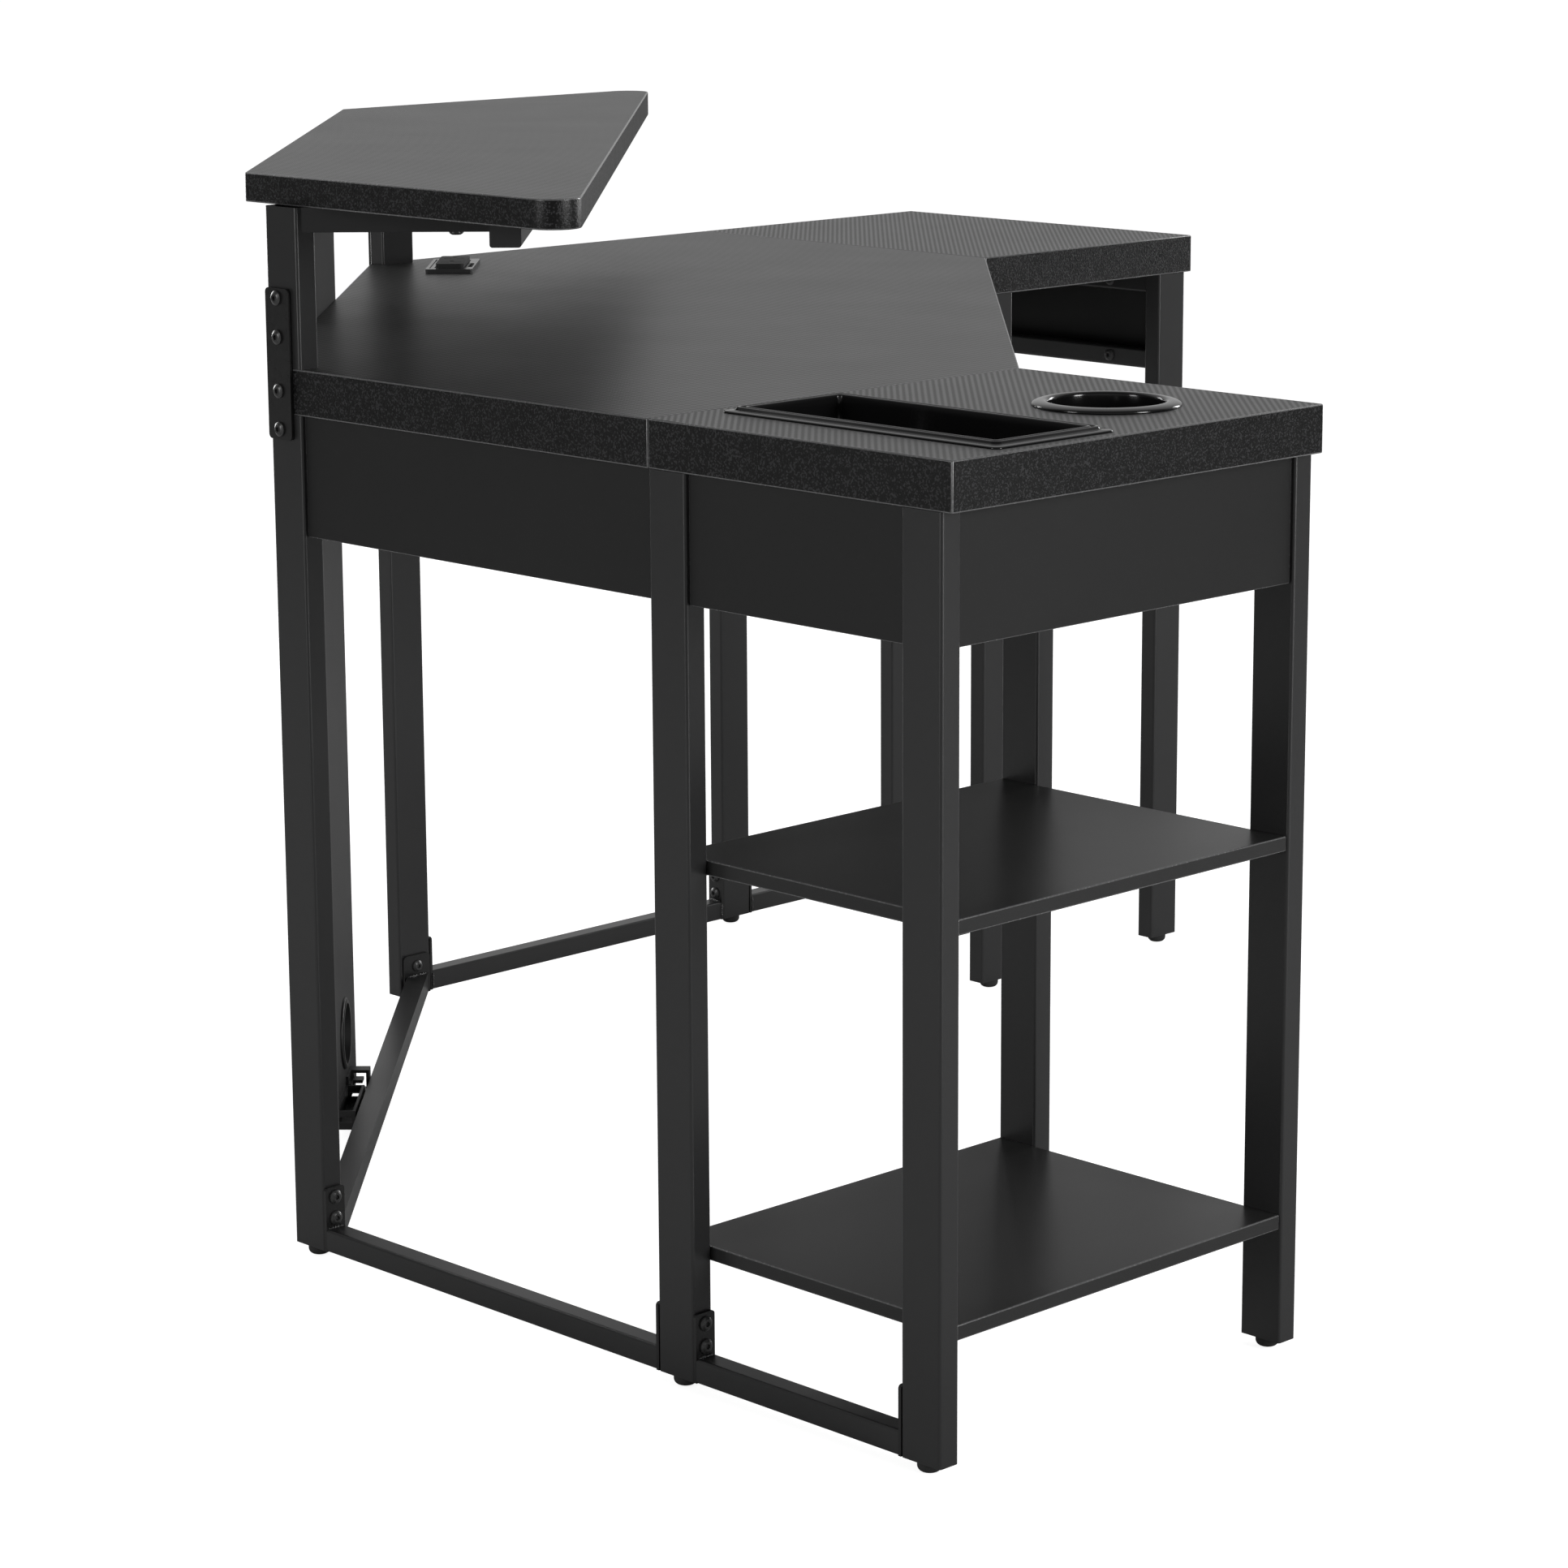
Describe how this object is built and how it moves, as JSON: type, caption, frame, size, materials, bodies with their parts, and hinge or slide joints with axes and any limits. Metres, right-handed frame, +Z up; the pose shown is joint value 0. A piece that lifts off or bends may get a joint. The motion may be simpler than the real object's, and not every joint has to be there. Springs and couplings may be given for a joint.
{
  "type": "corner desk",
  "caption": "L-shaped corner desk on tube legs with raised monitor shelf, storage shelves, drop-in pen tray and cup holder, power outlet and cable panel",
  "frame": {"origin": "on the floor, under the centre of the bounding box", "axes": "+Z is up; +X runs along the edge that carries the shelves, +Y along the other outer edge; the corner between the walls is at -X -Y and the user sits at +X +Y"},
  "size_m": [1.351, 1.351, 0.915],
  "materials": {
    "desk_board": "woven carbon-look film over board, satin, bevelled edges",
    "melamine_panel": "fine grained black melamine",
    "powder_coated_tube": "satin black powder coat",
    "plate_steel": "black coated steel plate",
    "bolt_steel": "black oxide button-head bolts",
    "screw_steel": "zinc plated wood screws",
    "gloss_insert": "glossy moulded plastic",
    "black_plastic": "fine grained moulded plastic",
    "foot_plastic": "moulded plastic glide"
  },
  "bodies": {
    "frame": {"corner_board": "desk_board", "near_wing_board": "desk_board", "far_wing_board": "desk_board", "monitor_shelf": "desk_board", "near_corner_leg": "powder_coated_tube", "near_seam_leg": "powder_coated_tube", "near_end_leg": "powder_coated_tube", "near_end_inner_leg": "powder_coated_tube", "near_seam_inner_leg": "powder_coated_tube", "far_corner_leg": "powder_coated_tube", "far_seam_leg": "powder_coated_tube", "far_end_leg": "powder_coated_tube", "far_end_inner_leg": "powder_coated_tube", "far_seam_inner_leg": "powder_coated_tube", "near_shelf_post": "powder_coated_tube", "far_shelf_post": "powder_coated_tube", "splice_plates": "plate_steel", "near_shelf_arm": "powder_coated_tube", "far_shelf_arm": "powder_coated_tube", "shelf_front_bar": "powder_coated_tube", "near_corner_apron": "melamine_panel", "near_side_apron": "melamine_panel", "near_end_apron": "melamine_panel", "far_corner_apron": "melamine_panel", "far_side_apron": "melamine_panel", "far_end_apron": "melamine_panel", "end_rails": "powder_coated_tube", "seam_rails": "powder_coated_tube", "leg_brackets": "powder_coated_tube", "middle_storage_shelf": "melamine_panel", "lower_storage_shelf": "melamine_panel", "near_corner_stretcher": "powder_coated_tube", "near_side_stretcher": "powder_coated_tube", "far_corner_stretcher": "powder_coated_tube", "far_side_stretcher": "powder_coated_tube", "corner_tie_stretcher": "powder_coated_tube", "stretcher_plates": "plate_steel", "frame_bolts": "bolt_steel", "wood_screws": "screw_steel", "leg_end_plugs": "black_plastic", "cable_panel": "melamine_panel", "cable_grommet": "black_plastic", "cord_loop": "black_plastic", "cord_cradle": "black_plastic", "outlet_bezel": "black_plastic", "outlet_sockets": "black_plastic", "outlet_usb": "black_plastic", "outlet_housing": "black_plastic"},
    "pen_tray_body": {"pen_tray": "gloss_insert"},
    "cup_holder_body": {"cup_holder": "gloss_insert"},
    "foot_near_corner_body": {"foot_near_corner": "foot_plastic"},
    "foot_near_seam_body": {"foot_near_seam": "foot_plastic"},
    "foot_near_end_body": {"foot_near_end": "foot_plastic"},
    "foot_near_end_inner_body": {"foot_near_end_inner": "foot_plastic"},
    "foot_near_seam_inner_body": {"foot_near_seam_inner": "foot_plastic"},
    "foot_far_corner_body": {"foot_far_corner": "foot_plastic"},
    "foot_far_seam_body": {"foot_far_seam": "foot_plastic"},
    "foot_far_end_body": {"foot_far_end": "foot_plastic"},
    "foot_far_end_inner_body": {"foot_far_end_inner": "foot_plastic"},
    "foot_far_seam_inner_body": {"foot_far_seam_inner": "foot_plastic"}
  },
  "joints": [
    {"name": "pen_tray_lift", "type": "slide", "parent": "frame", "child": "pen_tray_body", "axis": [0, 0, 1], "range_m": [0, 0.15]},
    {"name": "cup_holder_lift", "type": "slide", "parent": "frame", "child": "cup_holder_body", "axis": [0, 0, 1], "range_m": [0, 0.2]},
    {"name": "foot_near_corner_slide", "type": "slide", "parent": "frame", "child": "foot_near_corner_body", "axis": [0, 0, -1], "range_m": [0, 0.012]},
    {"name": "foot_near_seam_slide", "type": "slide", "parent": "frame", "child": "foot_near_seam_body", "axis": [0, 0, -1], "range_m": [0, 0.012]},
    {"name": "foot_near_end_slide", "type": "slide", "parent": "frame", "child": "foot_near_end_body", "axis": [0, 0, -1], "range_m": [0, 0.012]},
    {"name": "foot_near_end_inner_slide", "type": "slide", "parent": "frame", "child": "foot_near_end_inner_body", "axis": [0, 0, -1], "range_m": [0, 0.012]},
    {"name": "foot_near_seam_inner_slide", "type": "slide", "parent": "frame", "child": "foot_near_seam_inner_body", "axis": [0, 0, -1], "range_m": [0, 0.012]},
    {"name": "foot_far_corner_slide", "type": "slide", "parent": "frame", "child": "foot_far_corner_body", "axis": [0, 0, -1], "range_m": [0, 0.012]},
    {"name": "foot_far_seam_slide", "type": "slide", "parent": "frame", "child": "foot_far_seam_body", "axis": [0, 0, -1], "range_m": [0, 0.012]},
    {"name": "foot_far_end_slide", "type": "slide", "parent": "frame", "child": "foot_far_end_body", "axis": [0, 0, -1], "range_m": [0, 0.012]},
    {"name": "foot_far_end_inner_slide", "type": "slide", "parent": "frame", "child": "foot_far_end_inner_body", "axis": [0, 0, -1], "range_m": [0, 0.012]},
    {"name": "foot_far_seam_inner_slide", "type": "slide", "parent": "frame", "child": "foot_far_seam_inner_body", "axis": [0, 0, -1], "range_m": [0, 0.012]}
  ]
}
